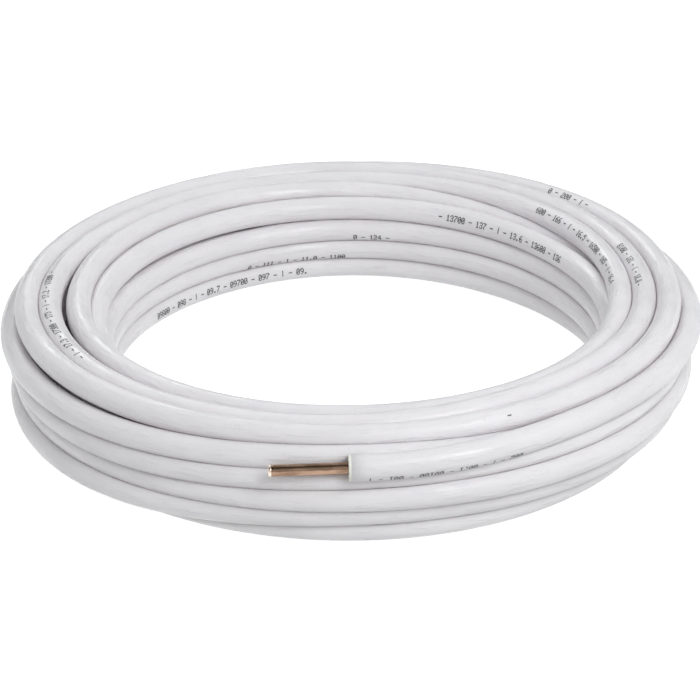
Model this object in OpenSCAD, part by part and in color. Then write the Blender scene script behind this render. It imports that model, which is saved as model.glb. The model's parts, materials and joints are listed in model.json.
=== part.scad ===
// Coil of foam-jacketed copper refrigeration tube, lying flat on the floor.
// Millimetres. +Z is the axis of the coil, and the origin is on that axis at floor level.
// The front of the coil, where its free end is cut, faces -Y.

/* [Tube] */
// Outside diameter of the copper tube
copper_od = 9.52; // [6.35:0.01:15.88]
// Wall thickness of the copper tube
copper_wall = 0.8; // [0.6:0.05:1.5]
// Thickness of the foam jacket around the copper
jacket_wall = 6; // [4:0.5:12]

/* [Coil] */
// Clear diameter through the middle of the coil
bore_d = 428; // [300:1:600]
// Turns side by side in each layer
turns_wide = 3; // [2:1:5]
// Layers of turns, one upon another
layers = 5; // [3:1:9]
// Gap between neighbouring turns of the layers in the middle
turn_gap = 12; // [1:0.5:20]
// How far the turns of the top and bottom layers are drawn in from the coil's sides
end_inset = 12.5; // [2:0.5:16]
// How far a turn is pressed into the one that it lies on
turn_press = 5.4; // [0.4:0.1:7]
// How far the top layer is pressed into the layer below it
top_press = 1; // [0.4:0.1:7]

/* [Free end] */
// Where the jacket is cut, as an angle round the coil from +X
cut_angle = 270; // [240:1:300]
// How far round the coil the last turn lies in its own place before the cut
last_arc = 90; // [60:1:150]
// How much thinner the jacket is where the last turn comes out of the top layer
lead_step = 0.2; // [0.1:0.1:1]
// How far round the coil that stretch laps into the turns at its two ends
lead_lap = 2; // [1:0.5:4]
// How far the last turn is pressed into the turns that it lies against
last_press = 3; // [0.4:0.1:7]
// Length of bared copper past the cut
bare_length = 65; // [30:1:120]

/* [Hidden] */
$fn = 96;

tube_d = copper_od + 2 * jacket_wall;
copper_id = copper_od - 2 * copper_wall;

turn_pitch = tube_d + turn_gap;
layer_rise = tube_d - turn_press;
first_radius = (bore_d + tube_d) / 2;
top_layer = layers - 1;
last_turn = turns_wide - 1;

function inset(layer) = layer == 0 || layer == top_layer ? end_inset : 0;
function turn_step(layer) = turn_pitch - 2 * inset(layer) / last_turn;
function turn_radius(layer, turn) = first_radius + inset(layer) + turn * turn_step(layer);
function top_lift(layer) = layer == top_layer ? turn_press - top_press : 0;
function turn_height(layer) = tube_d / 2 + layer * layer_rise + top_lift(layer);
function turn_centre(layer, turn) = [turn_radius(layer, turn), turn_height(layer)];

// The last turn lies on the outer shoulder of the coil, pressed against the outermost turns of
// the top two layers.
upper_turn = turn_centre(top_layer, last_turn);
lower_turn = turn_centre(top_layer - 1, last_turn);
upwards = upper_turn - lower_turn;
shoulder_reach = sqrt(pow(tube_d - last_press, 2) - pow(norm(upwards) / 2, 2));
outwards = [upwards[1], -upwards[0]] / norm(upwards);
last_centre = (upper_turn + lower_turn) / 2 + shoulder_reach * outwards;

module tube_section(centre, d) {
    translate(centre) circle(d = d);
}

// The middle of the section, which the turns round it close off
module hidden_section() {
    inner_side = [for (layer = [0 : top_layer]) turn_centre(layer, 0)];
    outer_side = [for (layer = [top_layer : -1 : 0]) turn_centre(layer, last_turn)];
    polygon(concat(inner_side, outer_side));
}

// All turns but the last, as one turned body
module wound_turns() {
    rotate_extrude() {
        hidden_section();
        for (layer = [0 : top_layer], turn = [0 : last_turn])
            tube_section(turn_centre(layer, turn), tube_d);
    }
}

// A stretch of the last turn in its own place, which ends at the cut
module last_stretch(d) {
    rotate([0, 0, cut_angle]) rotate_extrude(angle = last_arc) tube_section(last_centre, d);
}

// The half turn before that comes out of the top layer's outermost turn. It is a half ring on a
// leaning axis, so it leaves the one turn and joins the other without a kink.
module lead_out() {
    far_centre = [-upper_turn[0], upper_turn[1]];
    middle = (last_centre + far_centre) / 2;
    across = last_centre - far_centre;
    lean = atan2(across[1], across[0]);
    rotate([0, 0, cut_angle + last_arc])
        translate([middle[0], 0, middle[1]])
            rotate([0, -lean, 0]) rotate([0, 0, -lead_lap])
                rotate_extrude(angle = 180 + 2 * lead_lap)
                    tube_section([norm(across) / 2, 0], tube_d - lead_step);
}

// A straight round bar that stands out of the cut, along the tube
module straight_end(d, length) {
    rotate([0, 0, cut_angle])
        translate([last_centre[0], 0, last_centre[1]])
            rotate([90, 0, 0]) cylinder(d = d, h = length);
}

module foam_jacket() {
    color("whitesmoke")
        difference() {
            union() {
                wound_turns();
                lead_out();
                last_stretch(tube_d);
            }
            last_stretch(copper_od);
        }
}

module copper_tube() {
    color("peru")
        difference() {
            union() {
                last_stretch(copper_od);
                straight_end(copper_od, bare_length);
            }
            last_stretch(copper_id);
            straight_end(copper_id, bare_length);
        }
}

foam_jacket();
copper_tube();
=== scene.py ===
import json
import math

import bmesh
import bpy
import numpy as np
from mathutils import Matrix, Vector


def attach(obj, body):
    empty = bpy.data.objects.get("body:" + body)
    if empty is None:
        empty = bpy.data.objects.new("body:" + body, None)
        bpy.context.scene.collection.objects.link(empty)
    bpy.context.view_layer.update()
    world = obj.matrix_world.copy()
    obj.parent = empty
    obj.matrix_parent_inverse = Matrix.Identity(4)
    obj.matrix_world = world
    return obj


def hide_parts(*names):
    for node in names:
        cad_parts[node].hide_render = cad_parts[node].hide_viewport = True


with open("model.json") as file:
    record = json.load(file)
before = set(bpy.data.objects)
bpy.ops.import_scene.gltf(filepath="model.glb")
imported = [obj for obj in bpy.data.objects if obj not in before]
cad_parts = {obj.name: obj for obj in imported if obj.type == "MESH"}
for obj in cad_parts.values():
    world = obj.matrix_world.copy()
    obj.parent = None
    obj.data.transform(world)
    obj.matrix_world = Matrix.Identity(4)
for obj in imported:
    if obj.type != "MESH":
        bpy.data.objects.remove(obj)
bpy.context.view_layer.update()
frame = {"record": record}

BODY = "root"


def mount(name):
    """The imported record's mount of that name."""
    return next(row for row in frame["record"]["mounts"] if row["name"] == name)


# Tube sizes, in metres
copper_end_mount = mount("copper_end")
COPPER_RADIUS = copper_end_mount["dims"]["r_mm"] / 1000
COPPER_BORE_RADIUS = mount("copper_bore")["dims"]["r_mm"] / 1000
BARE_LENGTH = copper_end_mount["dims"]["length_mm"] / 1000
JACKET_WALL = 0.006
TUBE_RADIUS = COPPER_RADIUS + JACKET_WALL
TUBE = 2 * TUBE_RADIUS
COPPER_TIP = Vector(copper_end_mount["pos_m"])
FREE_END_SAG = Vector((-0.003, 0, -0.0055))
CUT_PLACE = COPPER_TIP - Vector(copper_end_mount["axis"]) * BARE_LENGTH + FREE_END_SAG

# Lay of the turns, with lengths in tube diameters and angles in degrees
CUT_AZIMUTH = math.degrees(math.atan2(CUT_PLACE.y, CUT_PLACE.x))
STATIONS_PER_TURN = 8
POINTS_PER_TURN = 144
TURNS_WOUND = 15.7
ON_FLOOR = 0.5
# How far apart the centres of two turns are where they press on each other: all round the coil, and
# in the tighter bundle round the front left
CONTACT = 0.81
TIGHT_CONTACT = 0.62
TIGHT_AZIMUTH = 238
TIGHT_SPREAD = 58
# Turns push one another apart in small rounds, and this share of a push stays from round to round
PUSH_ROUNDS = 300
PUSH_KEPT = 0.998
SMALLEST_GAP = 1e-9
# How far the lay wanders off the chart, and how many points lie between two draws of that
WANDER = 0.03
WANDER_POINTS = POINTS_PER_TURN // 12
LAY_SEED = 7
# Over how many points of the tube its lay, its give and its pushes are smoothed
LAY_SMOOTHING = POINTS_PER_TURN // 24
GIVE_SMOOTHING = POINTS_PER_TURN // 8
PUSH_SMOOTHING = POINTS_PER_TURN // 48
# Over how many points the tube eases onto the place of the cut
EASE_POINTS = POINTS_PER_TURN / 8

# Centre of each turn, from the free end inwards: its radius and its height at the front, front right,
# right, back right, back, back left, left and front left of the coil. The last number is how readily
# the turn gives way to its neighbours.
LAY_CHART = [
    # Down the outer face
    ([13.80, 12.90, 13.65, 13.95, 13.70, 13.55, 13.55, 13.72],
     [3.50, 3.32, 3.12, 2.98, 2.55, 2.20, 1.96, 2.08], 0.15),
    ([13.38, 13.05, 12.95, 13.15, 13.30, 13.25, 13.35, 13.55],
     [2.72, 2.48, 2.25, 2.05, 1.75, 1.42, 1.22, 1.32], 0.15),
    ([13.60, 13.45, 13.10, 13.20, 13.25, 13.30, 13.40, 13.85],
     [1.98, 1.74, 1.50, 1.20, 0.92, 0.66, 0.50, 0.50], 0.15),
    ([13.30, 13.05, 12.70, 12.60, 12.50, 12.45, 12.60, 13.30],
     [1.36, 1.15, 0.80, 0.55, 0.50, 0.50, 0.50, 0.50], 0.15),
    # In along the floor
    ([13.45, 12.85, 12.10, 11.80, 11.65, 11.60, 11.60, 11.90],
     [0.50, 0.50, 0.50, 0.50, 0.50, 0.50, 0.50, 0.50], 0.15),
    ([11.90, 11.45, 10.60, 10.25, 10.38, 10.22, 10.28, 10.50],
     [0.50, 0.50, 0.50, 0.50, 0.50, 0.50, 0.50, 0.50], 0.40),
    # Up the wall of the eye
    ([10.70, 10.60, 10.42, 10.30, 10.40, 10.28, 10.30, 10.50],
     [0.50, 0.85, 1.22, 1.34, 1.45, 1.38, 1.35, 1.40], 0.30),
    ([10.50, 10.50, 10.50, 10.40, 10.40, 10.40, 10.40, 10.50],
     [1.50, 1.70, 2.05, 2.16, 2.28, 2.15, 2.10, 2.20], 0.30),
    ([10.50, 10.50, 10.60, 10.50, 10.55, 10.60, 10.60, 10.60],
     [2.40, 2.60, 2.80, 3.00, 3.10, 3.15, 3.05, 2.90], 0.30),
    # Out over the top
    ([11.20, 11.30, 11.45, 11.50, 11.30, 11.50, 11.24, 10.94],
     [2.80, 2.90, 2.80, 2.85, 3.65, 3.70, 3.62, 3.62], 0.30),
    ([10.55, 10.45, 10.70, 11.85, 12.33, 12.40, 12.42, 12.15],
     [3.70, 3.64, 3.62, 3.70, 3.70, 3.70, 3.70, 3.70], 0.15),
    ([11.50, 11.15, 11.66, 12.64, 13.30, 13.25, 13.35, 13.10],
     [3.75, 3.95, 3.66, 3.74, 3.74, 3.70, 3.72, 3.80], 0.15),
    ([12.50, 12.35, 12.62, 13.66, 13.90, 13.85, 13.90, 13.62],
     [3.85, 3.83, 3.68, 3.64, 3.50, 3.05, 2.76, 2.96], 0.15),
    # Hidden inside but for the front, and out once on the wall of the eye at the back left
    ([13.10, 12.20, 12.30, 12.40, 12.40, 12.40, 12.30, 12.30],
     [3.62, 3.05, 2.80, 2.70, 2.70, 2.70, 2.70, 2.60], 0.50),
    ([12.30, 12.10, 12.00, 11.60, 11.20, 10.65, 10.60, 10.90],
     [2.00, 1.90, 1.90, 2.10, 2.40, 2.55, 2.45, 2.20], 0.80),
    ([11.50, 11.60, 11.60, 11.60, 11.60, 11.60, 11.60, 11.60],
     [1.90, 1.60, 1.50, 1.40, 1.40, 1.40, 1.40, 1.40], 0.80),
]

# Jacket, with lengths in metres
JACKET_SIDES = 42
PRESS_ROUNDS = 2
PRESS_CLEARANCE = 0.00008
# How far from the next turn's skin the painted shade in the creases reaches
CREASE_SHADE_REACH = 0.006
# A centre line nearer than this share of the tube's diameter is the turn's own
OWN_LINE = 0.4
DENT_DEPTH = 0.00022
DENT_SIZE = 0.035
DENT_SEED = 3.0
# Its cut end, where the bare foam is the second of its materials
FOAM_INDEX = 1
CUT_EDGE = 0.0004
SKIN_STEP = 0.0003
FOAM_LIP = 0.0022
CUT_BORE_DEPTH = 0.012
CUT_BORE_GAP = 0.00025

# Copper end, with lengths in metres
COPPER_SIDES = 48
COPPER_HIDDEN = 0.03
COPPER_LEAN = Vector((0, -0.003, -0.001))
ROLLED_EDGE = 0.0022
ROLLED_IN = 0.00035
# The rolled edge, outside and then inside: how far back from the tip as a share of ROLLED_EDGE, how
# far in from the plain tube as a share of ROLLED_IN, and whether fresh metal starts there
OUTER_EDGE = [
    (2.0, 0.0, False), (1.3, 0.0, False), (1.15, 0.7, False),
    (1.0, 0.2, True), (0.3, 0.6, True), (0.0, 1.6, True),
]
INNER_EDGE = [(0.0, 0.4, True), (0.5, 1.0, False), (2.0, 0.0, False)]

# Length marks, printed along the jacket in dots and counted from the free end, in metres
MARK_CELL = 0.004
MARK_CELLS_PER_NUMBER = 25
DOT_STEP_ALONG = 0.00066
DOT_STEP_AROUND = 0.00088
DOT_RADIUS = 0.00052
DOT_SIDES = 8
DOT_LIFT = 0.00004
DOT_MIDDLE_ROW = 3
DOT_FIGURES = {
    "0": ["01110", "10001", "10011", "10101", "11001", "10001", "01110"],
    "1": ["00100", "01100", "00100", "00100", "00100", "00100", "01110"],
    "2": ["01110", "10001", "00001", "00110", "01000", "10000", "11111"],
    "3": ["01110", "10001", "00001", "00110", "00001", "10001", "01110"],
    "4": ["00010", "00110", "01010", "10010", "11111", "00010", "00010"],
    "5": ["11111", "10000", "11110", "00001", "00001", "10001", "01110"],
    "6": ["00110", "01000", "10000", "11110", "10001", "10001", "01110"],
    "7": ["11111", "00001", "00010", "00100", "01000", "01000", "01000"],
    "8": ["01110", "10001", "10001", "01110", "10001", "10001", "01110"],
    "9": ["01110", "10001", "10001", "01111", "00001", "00010", "01100"],
    ".": ["00000", "00000", "00000", "00000", "00000", "01100", "01100"],
    "-": ["00000", "00000", "00000", "11111", "00000", "00000", "00000"],
    "|": ["00100", "00100", "00100", "00100", "00100", "00100", "00100"],
}
# Where the print has not turned away or worn off: the turn from the free end, the azimuth in degrees
# from and to, and which way it faces there, from 0 outward over 90 up to 180 inward
PRINTED_STRETCHES = [
    (1, 271.5, 297, -40),
    (6, 101, 150, 178),
    (7, 92, 118, 214),
    (8, 80, 90, 204),
    (9, 28, 68, 160),
    (11, 3, 46, 134),
    (11, 172, 211, 74),
    (12, 0, 21, 118),
    (13, 39, 50, 122),
    (13, 295.6, 296.9, 42),
]

# Camera, measured on the photograph's 700 by 700 frame
IMAGE_SIDE = 700
CAMERA_ELEVATION = 25.67
CAMERA_DISTANCE = 120 * TUBE
FOCAL_PIXELS = 2936
TARGET_PIXEL = (355.0, 336.0)
TARGET = Vector((0, 0, 2 * TUBE))
SENSOR = 36.0
FARTHEST_SEEN = 100

# Studio, with places in metres
STUDIO_WHITE = (0.965, 1.0, 0.995)
SKY_STRENGTH = 0.64
KEY_PLACE = (1.3, -1.7, 2.3)
KEY_SIZE = 1.4
KEY_WATTS = 40
BACK_PLACE = (-0.7, 2.4, 1.7)
BACK_SIZE = 0.8
BACK_WATTS = 8
FLOOR_HALF = 6.0
FLOOR_GLOW = 0.75
OVERHEAD_CARD = [(-2.5, -3.2, 3.4), (-2.5, 0.3, 3.4), (2.5, 0.3, 3.4), (2.5, -3.2, 3.4)]
BACK_CARD = [(-4, 3.5, 0), (4, 3.5, 0), (4, 3.5, 1.5), (-4, 3.5, 1.5)]

# Colours
FILM_DULL = (0.785, 0.752, 0.775, 1)
FILM_CLEAN = (0.825, 0.793, 0.815, 1)
FILM_FLECK = (0.55, 0.52, 0.50, 1)
# Painted shade in the creases between turns, a warm grey-brown
FILM_PAINTED_SHADE = (0.50, 0.44, 0.42, 1)
FOAM_DULL = (0.84, 0.82, 0.76, 1)
FOAM_CLEAN = (0.95, 0.93, 0.875, 1)
COPPER_CLEAN = (0.46, 0.30, 0.215, 1)
COPPER_STAIN = (0.26, 0.165, 0.11, 1)
COPPER_LINE = (0.24, 0.145, 0.09, 1)
CUT_RING_DULL = (0.90, 0.66, 0.52, 1)
CUT_RING_BRIGHT = (0.97, 0.84, 0.74, 1)
INK_FULL = (0.02, 0.02, 0.024, 1)
INK_THIN = (0.14, 0.135, 0.14, 1)
FLOOR_DULL = (0.50, 0.50, 0.50, 1)
FLOOR_CLEAN = (0.54, 0.54, 0.54, 1)
CARD_BLACK = (0.03, 0.03, 0.03, 1)


class Wire:
    """A node's output that takes part in Python arithmetic, in a shader or a geometry tree."""

    def __init__(self, tree, socket=None):
        self.tree = tree
        self.socket = socket

    def node(self, kind, settings=None, sockets=None, out=0):
        """A new node: its settings first, then its sockets' values or links. Gives one output."""
        made = self.tree.nodes.new(kind)
        for name, value in (settings or {}).items():
            setattr(made, name, value)
        for name, value in (sockets or {}).items():
            if isinstance(value, Wire):
                self.tree.links.new(value.socket, made.inputs[name])
            else:
                made.inputs[name].default_value = value
        return Wire(self.tree, made.outputs[out])

    def math(self, operation, *values):
        return self.node("ShaderNodeMath", {"operation": operation}, dict(enumerate(values)))

    def vector(self, operation, *values, out="Vector"):
        return self.node("ShaderNodeVectorMath", {"operation": operation}, dict(enumerate(values)), out)

    def times(self, scale):
        return self.node("ShaderNodeVectorMath", {"operation": "SCALE"}, {0: self, "Scale": scale})

    def dot(self, other):
        return self.vector("DOT_PRODUCT", self, other, out="Value")

    def __add__(self, other):
        return self.math("ADD", self, other)

    def __radd__(self, other):
        return self.math("ADD", other, self)

    def __sub__(self, other):
        return self.math("SUBTRACT", self, other)

    def __rsub__(self, other):
        return self.math("SUBTRACT", other, self)

    def __mul__(self, other):
        return self.math("MULTIPLY", self, other)

    def __rmul__(self, other):
        return self.math("MULTIPLY", other, self)

    def __truediv__(self, other):
        return self.math("DIVIDE", self, other)

    def __rtruediv__(self, other):
        return self.math("DIVIDE", other, self)

    def __gt__(self, other):
        return self.math("GREATER_THAN", self, other)

    def over(self, low, high):
        """0 below low, 1 above high, and smooth between."""
        settings = {"interpolation_type": "SMOOTHSTEP"}
        sockets = {"Value": self, "From Min": low, "From Max": high}
        return self.node("ShaderNodeMapRange", settings, sockets)

    def blend(self, first, second):
        """Between two colours, by this wire's value."""
        return self.node("ShaderNodeMix", {"data_type": "RGBA"}, {0: self, 6: first, 7: second}, 2)

    def noise(self, place, scale, detail=3.0, roughness=0.5):
        settings = {"noise_dimensions": "3D"}
        sockets = {"Vector": place, "Scale": scale, "Detail": detail, "Roughness": roughness}
        return self.node("ShaderNodeTexNoise", settings, sockets)

    def keep(self, name, kind, value):
        """This geometry, with a value kept on its points under a name."""
        return self.node(
            "GeometryNodeStoreNamedAttribute", {"data_type": kind, "domain": "POINT"},
            {"Geometry": self, "Name": name, "Value": value})

    def kept(self, name):
        """The vector that the points keep under a name."""
        return self.node("GeometryNodeInputNamedAttribute", {"data_type": "FLOAT_VECTOR"}, {"Name": name})


def add_object(name, data):
    """A new object at the origin, linked to the scene."""
    made = bpy.data.objects.new(name, data)
    bpy.context.collection.objects.link(made)
    return made


# Winding


def gaussian(width):
    """Weights of a smooth average over about that many points either way."""
    offset = np.arange(-3 * width, 3 * width + 1)
    weights = np.exp(-0.5 * (offset / width) ** 2)
    return weights / weights.sum()


def smooth(values, weights):
    """Values along the tube, averaged with their neighbours."""
    half = len(weights) // 2
    padded = np.concatenate([np.full(half, values[0]), values, np.full(half, values[-1])])
    return np.convolve(padded, weights, "valid")


def by_place(values):
    """Values along the tube as a table: one row for each place round the coil, one column a turn."""
    turns = math.ceil(len(values) / POINTS_PER_TURN)
    spare = turns * POINTS_PER_TURN - len(values)
    return np.pad(values, (0, spare)).reshape(turns, POINTS_PER_TURN).T


def contact_distance():
    """How far apart two turns are where they touch, at each place round the coil from the cut on."""
    azimuth = CUT_AZIMUTH % 360 + np.arange(POINTS_PER_TURN) * 360 / POINTS_PER_TURN
    from_tight = (azimuth - TIGHT_AZIMUTH + 180) % 360 - 180
    return CONTACT + (TIGHT_CONTACT - CONTACT) * np.exp(-(from_tight / TIGHT_SPREAD) ** 2)


def push_apart(radius, height, give):
    """How far out and up each point of the tube moves to make room for the turns beside it."""
    count = len(radius)
    there = by_place(np.ones(count)) > 0
    pairs = there[:, :, None] & there[:, None, :] & ~np.eye(there.shape[1], dtype=bool)[None]
    contact = contact_distance()[:, None, None]
    stiff = gaussian(PUSH_SMOOTHING)
    out, up = np.zeros(count), np.zeros(count)
    for _ in range(PUSH_ROUNDS):
        radii, heights = by_place(radius + out), by_place(height + up)
        apart_out = radii[:, :, None] - radii[:, None, :]
        apart_up = heights[:, :, None] - heights[:, None, :]
        apart = np.hypot(apart_out, apart_up) + SMALLEST_GAP
        push = np.where(pairs, np.clip(contact - apart, 0, None), 0) / apart
        push_out = (push * apart_out).sum(2).T.ravel()[:count]
        push_up = (push * apart_up).sum(2).T.ravel()[:count]
        out = smooth(out + give * push_out, stiff) * PUSH_KEPT
        up = np.maximum(smooth(up + give * push_up, stiff) * PUSH_KEPT, ON_FLOOR - height)
    return out, up


def wind_tube():
    """Centre line of the wound tube from the cut inwards, and the distance along it.

    The chart gives each turn's lay, a seeded wander makes it less even, and turns that would run into
    each other push one another apart at every place round the coil. The start eases onto the cut.
    """
    count = int(TURNS_WOUND * POINTS_PER_TURN) + 1
    step = np.arange(count)
    stations = np.arange(len(LAY_CHART) * STATIONS_PER_TURN) * POINTS_PER_TURN / STATIONS_PER_TURN
    middles = (np.arange(len(LAY_CHART)) + 0.5) * POINTS_PER_TURN
    draw = np.random.default_rng(LAY_SEED)
    knots = np.arange(0, count + WANDER_POINTS, WANDER_POINTS)

    def charted(column):
        """The radius or the height of each point, from that column of the chart, with its wander."""
        lay = np.concatenate([row[column] for row in LAY_CHART])
        drift = np.interp(step, knots, draw.normal(0, WANDER, len(knots)))
        return smooth(np.interp(step, stations, lay) + drift, gaussian(LAY_SMOOTHING))

    radius, height = charted(0), charted(1)
    give = smooth(np.interp(step, middles, [row[2] for row in LAY_CHART]), gaussian(GIVE_SMOOTHING))
    out, up = push_apart(radius, height, give)
    radius, height = (radius + out) * TUBE, (height + up) * TUBE

    ease = 0.5 + 0.5 * np.cos(np.pi * np.clip(step / EASE_POINTS, 0, 1))
    radius += ease * (math.hypot(CUT_PLACE.x, CUT_PLACE.y) - radius[0])
    height += ease * (CUT_PLACE.z - height[0])

    azimuth = np.radians(CUT_AZIMUTH + 360 * step / POINTS_PER_TURN)
    line = np.stack([radius * np.cos(azimuth), radius * np.sin(azimuth), height], axis=1)
    run = np.concatenate([[0], np.cumsum(np.linalg.norm(np.diff(line, axis=0), axis=1))])
    return line, run


# Geometry trees


def new_tree(name, inputs):
    """An empty geometry tree with those inputs, as (tree, wires of the inputs, ids of the inputs)."""
    tree = bpy.data.node_groups.new(name, "GeometryNodeTree")
    tree.interface.new_socket("Geometry", in_out="OUTPUT", socket_type="NodeSocketGeometry")
    ids = {}
    for label, kind in inputs:
        ids[label] = tree.interface.new_socket(label, in_out="INPUT", socket_type=kind).identifier
    source = tree.nodes.new("NodeGroupInput")
    wires = {label: Wire(tree, source.outputs[label]) for label, _ in inputs}
    return tree, wires, ids


def close_tree(tree, geometry, material):
    """Ends a tree with real geometry that wears the material."""
    whole = geometry.node("GeometryNodeRealizeInstances", sockets={"Geometry": geometry})
    worn = whole.node("GeometryNodeSetMaterial", sockets={"Geometry": whole, "Material": material})
    sink = tree.nodes.new("NodeGroupOutput")
    tree.links.new(worn.socket, sink.inputs["Geometry"])


def grow(name, seed_mesh, tree, ids, values):
    """Runs a tree on a mesh and keeps the result as a plain mesh object."""
    seed = add_object(name + "_seed", seed_mesh)
    modifier = seed.modifiers.new(name, "NODES")
    modifier.node_group = tree
    for label, value in values.items():
        modifier[ids[label]] = value
    graph = bpy.context.evaluated_depsgraph_get()
    mesh = bpy.data.meshes.new_from_object(
        seed.evaluated_get(graph), preserve_all_data_layers=True, depsgraph=graph)
    seed.modifiers.remove(modifier)
    bpy.data.objects.remove(seed)
    mesh.name = name
    return add_object(name, mesh)


def jacket_tree():
    """Sweeps the jacket along the centre line, dents it, and presses turns flat where they touch."""
    tree, put, ids = new_tree("wound_jacket", [
        ("Centre line", "NodeSocketGeometry"),
        ("Tube diameter", "NodeSocketFloat"),
        ("Sides", "NodeSocketInt"),
        ("Press clearance", "NodeSocketFloat"),
        ("Crease shade reach", "NodeSocketFloat"),
        ("Dent depth", "NodeSocketFloat"),
        ("Dent size", "NodeSocketFloat"),
        ("Dent seed", "NodeSocketFloat"),
        ("Skin", "NodeSocketMaterial"),
    ])
    start = Wire(tree)
    line, diameter = put["Centre line"], put["Tube diameter"]
    place = start.node("GeometryNodeInputPosition")

    curve = start.node("GeometryNodeMeshToCurve", sockets={"Mesh": line})
    curve = start.node("GeometryNodeSetCurveNormal", {"mode": "Z_UP"}, {"Curve": curve})
    curve = curve.keep("centre", "FLOAT_VECTOR", place)
    curve = curve.keep("along", "FLOAT_VECTOR", start.node("GeometryNodeInputTangent"))
    ring = start.node(
        "GeometryNodeCurvePrimitiveCircle", {"mode": "RADIUS"},
        {"Resolution": put["Sides"], "Radius": diameter * 0.5})
    skin = start.node("GeometryNodeCurveToMesh", sockets={"Curve": curve, "Profile Curve": ring})
    centre, along = start.kept("centre"), start.kept("along")

    def moved(geometry, way, distance):
        """The geometry with each point moved that far along its way."""
        return start.node(
            "GeometryNodeSetPosition", sockets={"Geometry": geometry, "Offset": way.times(distance)})

    # Shallow dents
    outward = start.vector("NORMALIZE", start.vector("SUBTRACT", place, centre))
    dent = start.node(
        "ShaderNodeTexNoise", {"noise_dimensions": "4D"},
        {"Vector": place, "W": put["Dent seed"], "Scale": 1 / put["Dent size"], "Detail": 2.0})
    depth = (dent - 0.5) * 2 * put["Dent depth"]
    skin = moved(skin, outward, depth)

    def neighbour(sample):
        """The centre line nearest to a place, seen from the turn's own centre.

        Gives the way there, the distance, the line's nearest point and whether it is another turn's.
        """
        index = start.node(
            "GeometryNodeSampleNearest", {"domain": "POINT"}, {"Geometry": line, "Sample Position": sample})
        other = start.node(
            "GeometryNodeSampleIndex", {"data_type": "FLOAT_VECTOR", "domain": "POINT"},
            {"Geometry": line, "Value": place, "Index": index})
        reach = start.vector("SUBTRACT", other, centre)
        across = start.vector("SUBTRACT", reach, along.times(reach.dot(along)))
        apart = start.vector("LENGTH", across, out="Value")
        return start.vector("NORMALIZE", across), apart, other, apart > diameter * OWN_LINE

    # Past the middle between two turns the foam is flat
    for _ in range(PRESS_ROUNDS):
        toward, apart, _, is_another = neighbour(place)
        middle = apart * 0.5 - put["Press clearance"]
        past = start.vector("SUBTRACT", place, centre).dot(toward) - middle
        skin = moved(skin, toward, start.math("MAXIMUM", past, 0.0) * is_another * -1.0)

    # What the skin's finish reads: the place on the straightened tube, and how close the next turn is,
    # which the finish uses for painted shade in the creases between turns.
    # That turn is looked for as far outside the skin as the turn's own centre is inside it.
    offset = start.vector("SUBTRACT", place, centre)
    radial = start.vector("NORMALIZE", start.vector("MULTIPLY", centre, (1.0, 1.0, 0.0)))
    beyond = start.vector("ADD", centre, offset.times(2.0))
    _, _, other, is_another = neighbour(beyond)
    clear = start.vector("DISTANCE", place, other, out="Value") - diameter * 0.5
    nook = (1 - clear.over(0.0, put["Crease shade reach"])) * is_another
    skin = skin.keep("aside", "FLOAT", offset.dot(radial))
    skin = skin.keep("above", "FLOAT", offset.dot((0.0, 0.0, 1.0)))
    skin = skin.keep("nook", "FLOAT", nook)
    skin = start.node("GeometryNodeSetShadeSmooth", sockets={"Geometry": skin})
    close_tree(tree, skin, put["Skin"])
    return tree, ids


def marks_tree():
    """Drops each dot from the centre of the tube onto the jacket and lays a small disc there."""
    tree, put, ids = new_tree("length_marks", [
        ("Dots", "NodeSocketGeometry"),
        ("Jacket", "NodeSocketObject"),
        ("Dot radius", "NodeSocketFloat"),
        ("Dot sides", "NodeSocketInt"),
        ("Lift", "NodeSocketFloat"),
        ("Reach", "NodeSocketFloat"),
        ("Ink", "NodeSocketMaterial"),
    ])
    start = Wire(tree)
    place = start.node("GeometryNodeInputPosition")
    outward = start.kept("outward")
    jacket = start.node("GeometryNodeObjectInfo", sockets={"Object": put["Jacket"]}, out="Geometry")
    hit = start.node(
        "GeometryNodeRaycast",
        sockets={
            "Target Geometry": jacket, "Source Position": place, "Ray Direction": outward,
            "Ray Length": put["Reach"]},
        out="Hit Position")
    normal = Wire(tree, hit.socket.node.outputs["Hit Normal"])
    dots = put["Dots"].keep("facing", "FLOAT_VECTOR", normal)
    lifted = start.vector("ADD", hit, outward.times(put["Lift"]))
    dots = start.node("GeometryNodeSetPosition", sockets={"Geometry": dots, "Position": lifted})
    facing = start.kept("facing")
    turned = start.node("FunctionNodeAlignRotationToVector", {"axis": "Z"}, {"Vector": facing})
    disc = start.node(
        "GeometryNodeMeshCircle", {"fill_type": "NGON"},
        {"Vertices": put["Dot sides"], "Radius": put["Dot radius"]})
    discs = start.node(
        "GeometryNodeInstanceOnPoints", sockets={"Points": dots, "Instance": disc, "Rotation": turned})
    close_tree(tree, discs, put["Ink"])
    return tree, ids


# Finishes


def blank_material(name, **values):
    """A material with one Principled shader, whose even values are set on its own sockets."""
    material = bpy.data.materials.new(name)
    material.use_nodes = True
    tree = material.node_tree
    shader = tree.nodes["Principled BSDF"]
    for label, value in values.items():
        shader.inputs[label.replace("_", " ")].default_value = value
    return material, Wire(tree), shader


def feed(start, shader, **wires):
    """Links wires to the shader's sockets."""
    for label, wire in wires.items():
        start.tree.links.new(wire.socket, shader.inputs[label.replace("_", " ")])


def bump(start, height, distance, strength):
    """The normal of a surface that stands up by the distance, in metres, where the height is 1."""
    sockets = {"Height": height, "Distance": distance, "Strength": strength}
    return start.node("ShaderNodeBump", sockets=sockets)


def attribute(start, name):
    """A value that the mesh keeps under a name."""
    return start.node("ShaderNodeAttribute", {"attribute_name": name}, out="Fac")


def straightened(start):
    """The skin's place in metres as if the tube were pulled straight, with its length along X."""
    return start.node("ShaderNodeCombineXYZ", sockets={
        "X": attribute(start, "run"), "Y": attribute(start, "aside"), "Z": attribute(start, "above")})


def object_place(start):
    """The place on the piece, in metres."""
    return start.node("ShaderNodeTexCoord", out="Object")


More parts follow.
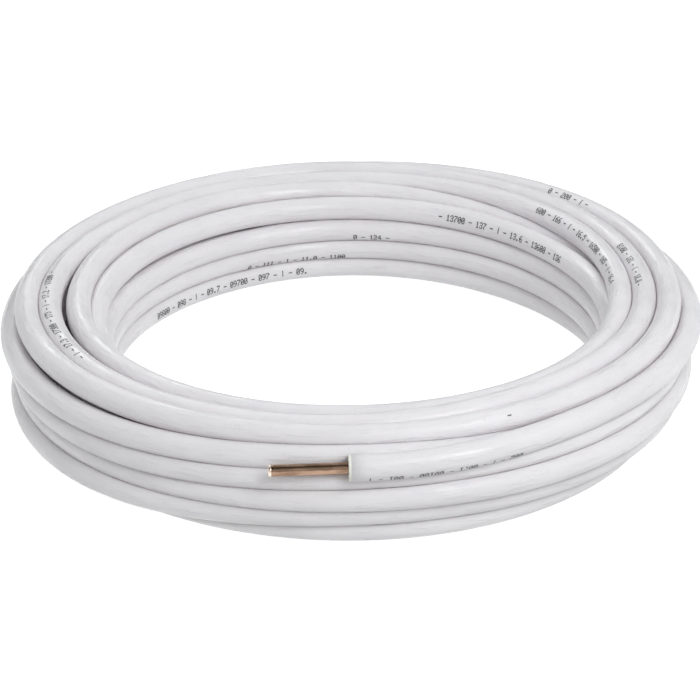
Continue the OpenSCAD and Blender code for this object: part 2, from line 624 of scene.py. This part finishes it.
def grain(start, place, along, across, detail, roughness=0.5):
    """Noise with so many patches a metre along the tube and across it."""
    drawn_out = start.vector("MULTIPLY", place, (along, across, across))
    return start.noise(drawn_out, scale=1.0, detail=detail, roughness=roughness)


def jacket_skin():
    """Thin white film on soft foam: satin, faintly streaked along the tube and puckered across it."""
    material, start, shader = blank_material(
        "jacket_skin", Subsurface_Weight=0.6, Subsurface_Scale=0.005, IOR=1.45, Coat_Roughness=0.16)
    shader.inputs["Subsurface Radius"].default_value = (1.0, 0.92, 0.90)
    place = straightened(start)
    cloud = start.noise(place, scale=9.0)
    streak = grain(start, place, along=9.0, across=260.0, detail=4.0)
    pucker = grain(start, place, along=420.0, across=70.0, detail=2.0)
    crease = grain(start, place, along=42.0, across=230.0, detail=3.0).over(0.46, 0.70)
    patch = start.noise(place, scale=26.0, detail=2.0).over(0.48, 0.64)
    shine = start.noise(place, scale=17.0, detail=3.0).over(0.42, 0.62)
    peel = start.noise(place, scale=520.0, detail=2.0)
    fleck = start.noise(place, scale=330.0, detail=1.0).over(0.74, 0.80)
    # Painted shade: the film is tinted warm grey-brown where the next turn is close, and less on the upper
    # side of the tube, where the light falls from above
    upper_side = attribute(start, "above").over(-0.001, 0.006)
    painted_crease_shade = attribute(start, "nook") * (1 - upper_side * 0.75)

    white = cloud.over(0.3, 0.7).blend(FILM_DULL, FILM_CLEAN)
    worn = (fleck * 0.25).blend(white, FILM_FLECK)
    colour = (painted_crease_shade * 0.32).blend(worn, FILM_PAINTED_SHADE)
    height = streak * 0.6 + pucker * patch * 0.8 + crease * 1.1 + peel * 0.2
    feed(
        start, shader, Base_Color=colour,
        Roughness=0.34 + cloud * 0.10 + streak * 0.12,
        Coat_Weight=shine * 0.5,
        Normal=bump(start, height, distance=0.0006, strength=0.75))
    return material


def foam_core():
    """The cut foam: matt, with fine open cells."""
    material, start, shader = blank_material("foam_core", Subsurface_Weight=0.25, Subsurface_Scale=0.003)
    place = object_place(start)
    cells = start.node("ShaderNodeTexVoronoi", sockets={"Vector": place, "Scale": 1700.0}, out="Distance")
    tone = start.noise(place, scale=160.0)
    feed(
        start, shader,
        Base_Color=(cells * 0.6 + tone * 0.4).blend(FOAM_DULL, FOAM_CLEAN),
        Roughness=0.75 + tone * 0.15,
        Normal=bump(start, cells, distance=0.0005, strength=0.7))
    return material


def drawn_copper():
    """Drawn copper, lightly dulled, with fine lines along the tube."""
    material, start, shader = blank_material("drawn_copper", Metallic=1.0)
    place = object_place(start)
    lines = grain(start, place, along=14.0, across=1400.0, detail=4.0, roughness=0.6)
    stain = grain(start, place, along=45.0, across=120.0, detail=4.0)
    dulled = stain.over(0.38, 0.62).blend(COPPER_CLEAN, COPPER_STAIN)
    colour = lines.over(0.50, 0.80).blend(dulled, COPPER_LINE)
    feed(
        start, shader, Base_Color=colour,
        Roughness=0.12 + stain * 0.14 + lines * 0.08,
        Normal=bump(start, lines, distance=0.00008, strength=0.35))
    return material


def cut_copper():
    """The fresh edge that the tube cutter left, with its fine rings."""
    material, start, shader = blank_material("cut_copper", Metallic=1.0)
    place = object_place(start)
    rings = grain(start, place, along=2600.0, across=160.0, detail=2.0)
    feed(
        start, shader,
        Base_Color=rings.blend(CUT_RING_DULL, CUT_RING_BRIGHT),
        Roughness=0.26 + rings * 0.14,
        Normal=bump(start, rings, distance=0.00005, strength=0.3))
    return material


def mark_ink():
    """Sprayed black ink, thin in places."""
    material, start, shader = blank_material("mark_ink")
    place = object_place(start)
    thin = start.noise(place, scale=420.0, detail=2.0)
    feed(
        start, shader,
        Base_Color=thin.over(0.42, 0.70).blend(INK_FULL, INK_THIN),
        Roughness=0.45 + thin * 0.2)
    return material


def pale_floor():
    """A matt studio floor that glows a little, so that it shows white."""
    material, start, shader = blank_material(
        "pale_floor", Emission_Color=(1, 1, 1, 1), Emission_Strength=FLOOR_GLOW)
    place = object_place(start)
    tone = start.noise(place, scale=3.0)
    feed(
        start, shader,
        Base_Color=tone.blend(FLOOR_DULL, FLOOR_CLEAN),
        Roughness=0.55 + tone * 0.1)
    return material


# Pieces


def wound_jacket(line, run, skin, core):
    """The foam jacket of the whole tube, with its cut end."""
    thread = bpy.data.meshes.new("centre_line")
    count = len(line)
    thread.from_pydata(line.tolist(), [(i, i + 1) for i in range(count - 1)], [])
    thread.attributes.new("run", "FLOAT", "POINT").data.foreach_set("value", run)
    tree, ids = jacket_tree()
    made = grow("wound_jacket", thread, tree, ids, {
        "Tube diameter": TUBE,
        "Sides": JACKET_SIDES,
        "Press clearance": PRESS_CLEARANCE,
        "Crease shade reach": CREASE_SHADE_REACH,
        "Dent depth": DENT_DEPTH,
        "Dent size": DENT_SIZE,
        "Dent seed": DENT_SEED,
        "Skin": skin,
    })
    made.data.materials.append(core)
    facing = Vector(line[0] - line[1]).normalized()
    close_jacket_ends(made.data, Vector(line[0]), facing, Vector(line[-1]))
    return made


def close_jacket_ends(mesh, cut, facing, hidden_end):
    """Gives the cut its ring of bare foam and the mouth of its bore, and closes the hidden end."""
    work = bmesh.new()
    work.from_mesh(mesh)
    rim = [edge for edge in work.edges if edge.is_boundary]
    at_cut = [edge for edge in rim if (edge.verts[0].co - cut).length < TUBE]
    at_end = [edge for edge in rim if (edge.verts[0].co - hidden_end).length < TUBE]

    def next_ring(edges, radius, forward):
        """Adds foam from those edges to that radius, that far past the cut. Gives its far edges."""
        grown = bmesh.ops.extrude_edge_only(work, edges=edges)["geom"]
        for item in grown:
            if isinstance(item, bmesh.types.BMVert):
                flat = item.co - cut
                flat -= facing * flat.dot(facing)
                item.co = cut + flat.normalized() * radius + facing * forward
            elif isinstance(item, bmesh.types.BMFace):
                item.material_index = FOAM_INDEX
                item.smooth = False
        return [item for item in grown if isinstance(item, bmesh.types.BMEdge)]

    bore = COPPER_RADIUS + CUT_BORE_GAP
    foam = TUBE_RADIUS - SKIN_STEP
    ring = next_ring(at_cut, foam, 0.0)
    ring = next_ring(ring, foam, FOAM_LIP - CUT_EDGE)
    ring = next_ring(ring, foam - CUT_EDGE, FOAM_LIP)
    ring = next_ring(ring, bore + CUT_EDGE, FOAM_LIP)
    ring = next_ring(ring, bore, FOAM_LIP - CUT_EDGE)
    next_ring(ring, bore, -CUT_BORE_DEPTH)
    bmesh.ops.holes_fill(work, edges=at_end)
    bmesh.ops.recalc_face_normals(work, faces=work.faces)
    work.to_mesh(mesh)
    work.free()


def copper_end(line, copper, cut_edge):
    """The bared copper: an open drawn tube whose cut edge is rolled in a little."""
    start = Vector(line[0])
    outward = (COPPER_TIP + FREE_END_SAG + COPPER_LEAN - start).normalized()
    side = outward.cross(Vector((0, 0, 1))).normalized()
    up = side.cross(outward)
    # Distance from the cut, radius, and whether fresh metal starts there
    middle = BARE_LENGTH / 2
    plain_outside = [(distance, COPPER_RADIUS, False) for distance in (-COPPER_HIDDEN, 0.0, middle)]
    plain_inside = [(distance, COPPER_BORE_RADIUS, False) for distance in (middle, -COPPER_HIDDEN)]

    def rolled(edge, radius):
        """The points of a rolled edge on a tube of that radius."""
        return [
            (BARE_LENGTH - back * ROLLED_EDGE, radius - inward * ROLLED_IN, fresh)
            for back, inward, fresh in edge]

    profile = [
        *plain_outside, *rolled(OUTER_EDGE, COPPER_RADIUS),
        *rolled(INNER_EDGE, COPPER_BORE_RADIUS), *plain_inside,
    ]
    work = bmesh.new()
    rings = []
    for distance, radius, _ in profile:
        ring = []
        for corner in range(COPPER_SIDES):
            angle = 2 * math.pi * corner / COPPER_SIDES
            spoke = side * math.cos(angle) + up * math.sin(angle)
            ring.append(work.verts.new(start + outward * distance + spoke * radius))
        rings.append(ring)
    for (_, _, fresh), near, far in zip(profile, rings, rings[1:] + rings[:1]):
        for corner in range(COPPER_SIDES):
            after = (corner + 1) % COPPER_SIDES
            face = work.faces.new((near[corner], near[after], far[after], far[corner]))
            face.smooth = True
            face.material_index = int(fresh)
    bmesh.ops.recalc_face_normals(work, faces=work.faces)
    mesh = bpy.data.meshes.new("copper_end")
    work.to_mesh(mesh)
    work.free()
    mesh.materials.append(copper)
    mesh.materials.append(cut_edge)
    return add_object("copper_end", mesh)


def number_text(number):
    """One stretch of the printed scale: metres, millimetres, tenths and a tick, as wide as its cells."""
    text = f"{number / 10:04.1f} - {number * 100:05d} - {number:03d} - | - "
    return text.ljust(MARK_CELLS_PER_NUMBER)


def figure_dots(cell):
    """The dots of the figure in a cell: each one's distance along the tube and its angle round it."""
    number, back = divmod(cell, MARK_CELLS_PER_NUMBER)
    figure = number_text(number + 1)[MARK_CELLS_PER_NUMBER - 1 - back]
    for row, bits in enumerate(DOT_FIGURES.get(figure, [])):
        for column, bit in enumerate(bits):
            if bit == "1":
                along = (cell + 1) * MARK_CELL - column * DOT_STEP_ALONG
                yield along, (row - DOT_MIDDLE_ROW) * DOT_STEP_AROUND / TUBE_RADIUS


def mark_dots(line, run):
    """The dots of every printed stretch: a place on the centre line, and the way out to the skin."""
    places, outwards = [], []
    step = np.arange(len(line))

    def first_cell(turn, azimuth):
        """The first whole cell past a place on a turn."""
        point = (turn - 1 + (azimuth - CUT_AZIMUTH) % 360 / 360) * POINTS_PER_TURN
        return math.ceil(np.interp(point, step, run) / MARK_CELL)

    for turn, start, end, facing in PRINTED_STRETCHES:
        for cell in range(first_cell(turn, start), first_cell(turn, end)):
            for along, around in figure_dots(cell):
                angle = math.radians(facing) + around
                centre = Vector([np.interp(along, run, line[:, axis]) for axis in range(3)])
                radial = Vector((centre.x, centre.y, 0)).normalized()
                places.append(centre)
                outwards.append(radial * math.cos(angle) + Vector((0, 0, math.sin(angle))))
    return places, outwards


def length_marks(line, run, jacket, ink):
    """The printed length scale, dot by dot."""
    places, outwards = mark_dots(line, run)
    dots = bpy.data.meshes.new("mark_dots")
    dots.from_pydata(places, [], [])
    ways = dots.attributes.new("outward", "FLOAT_VECTOR", "POINT")
    ways.data.foreach_set("vector", np.array(outwards).ravel())
    tree, ids = marks_tree()
    return grow("length_marks", dots, tree, ids, {
        "Jacket": jacket,
        "Dot radius": DOT_RADIUS,
        "Dot sides": DOT_SIDES,
        "Lift": DOT_LIFT,
        "Reach": TUBE,
        "Ink": ink,
    })


# Stage


def sheet(name, corners, material):
    """A flat sheet with four corners, which adds nothing to the soft light on the coil."""
    mesh = bpy.data.meshes.new(name)
    mesh.from_pydata(corners, [], [(0, 1, 2, 3)])
    mesh.materials.append(material)
    made = add_object(name, mesh)
    made.visible_diffuse = False
    return made


def floor():
    """The floor that the coil lies on."""
    half = FLOOR_HALF
    corners = [(-half, -half, 0), (half, -half, 0), (half, half, 0), (-half, half, 0)]
    made = sheet("floor", corners, pale_floor())


def dark_card(name, corners):
    """A dark card round the coil, seen only in the copper's and the film's reflections."""
    made = sheet(name, corners, blank_material(name, Base_Color=CARD_BLACK, Roughness=0.9)[0])
    made.visible_camera = False
    made.visible_shadow = False


def soft_box(name, place, size, watts):
    """A square soft light that faces the coil."""
    lamp = bpy.data.lights.new(name, "AREA")
    lamp.shape = "SQUARE"
    lamp.size = size
    lamp.energy = watts
    lamp.color = STUDIO_WHITE
    made = add_object(name, lamp)
    made.location = place
    made.rotation_euler = (TARGET - Vector(place)).to_track_quat("-Z", "Y").to_euler()


def light():
    """An even sky, a key light at the front right and a small light at the back."""
    world = bpy.data.worlds.new("studio")
    world.use_nodes = True
    sky = world.node_tree.nodes["Background"]
    sky.inputs["Color"].default_value = (*STUDIO_WHITE, 1)
    sky.inputs["Strength"].default_value = SKY_STRENGTH
    bpy.context.scene.world = world
    soft_box("key", KEY_PLACE, KEY_SIZE, KEY_WATTS)
    soft_box("back", BACK_PLACE, BACK_SIZE, BACK_WATTS)
    bpy.context.scene.view_settings.view_transform = "Standard"


def camera():
    """The photograph's view, from the front and above."""
    lens = bpy.data.cameras.new("camera")
    lens.sensor_width = SENSOR
    lens.lens = FOCAL_PIXELS / IMAGE_SIDE * SENSOR
    lens.shift_x = (IMAGE_SIDE / 2 - TARGET_PIXEL[0]) / IMAGE_SIDE
    lens.shift_y = (TARGET_PIXEL[1] - IMAGE_SIDE / 2) / IMAGE_SIDE
    lens.clip_end = FARTHEST_SEEN
    made = add_object("camera", lens)
    tilt = math.radians(CAMERA_ELEVATION)
    made.location = TARGET + CAMERA_DISTANCE * Vector((0, -math.cos(tilt), math.sin(tilt)))
    made.rotation_euler = (math.pi / 2 - tilt, 0, 0)
    bpy.context.scene.camera = made


camera()
light()
floor()
dark_card("overhead_card", OVERHEAD_CARD)
dark_card("back_card", BACK_CARD)
centre_line, run_length = wind_tube()
jacket = wound_jacket(centre_line, run_length, jacket_skin(), foam_core())
stub = copper_end(centre_line, drawn_copper(), cut_copper())
marks = length_marks(centre_line, run_length, jacket, mark_ink())

for piece, slot in ((jacket, "jacket"), (stub, "copper"), (marks, "jacket")):
    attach(piece, BODY)
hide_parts("foam_jacket")
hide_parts("copper_tube")
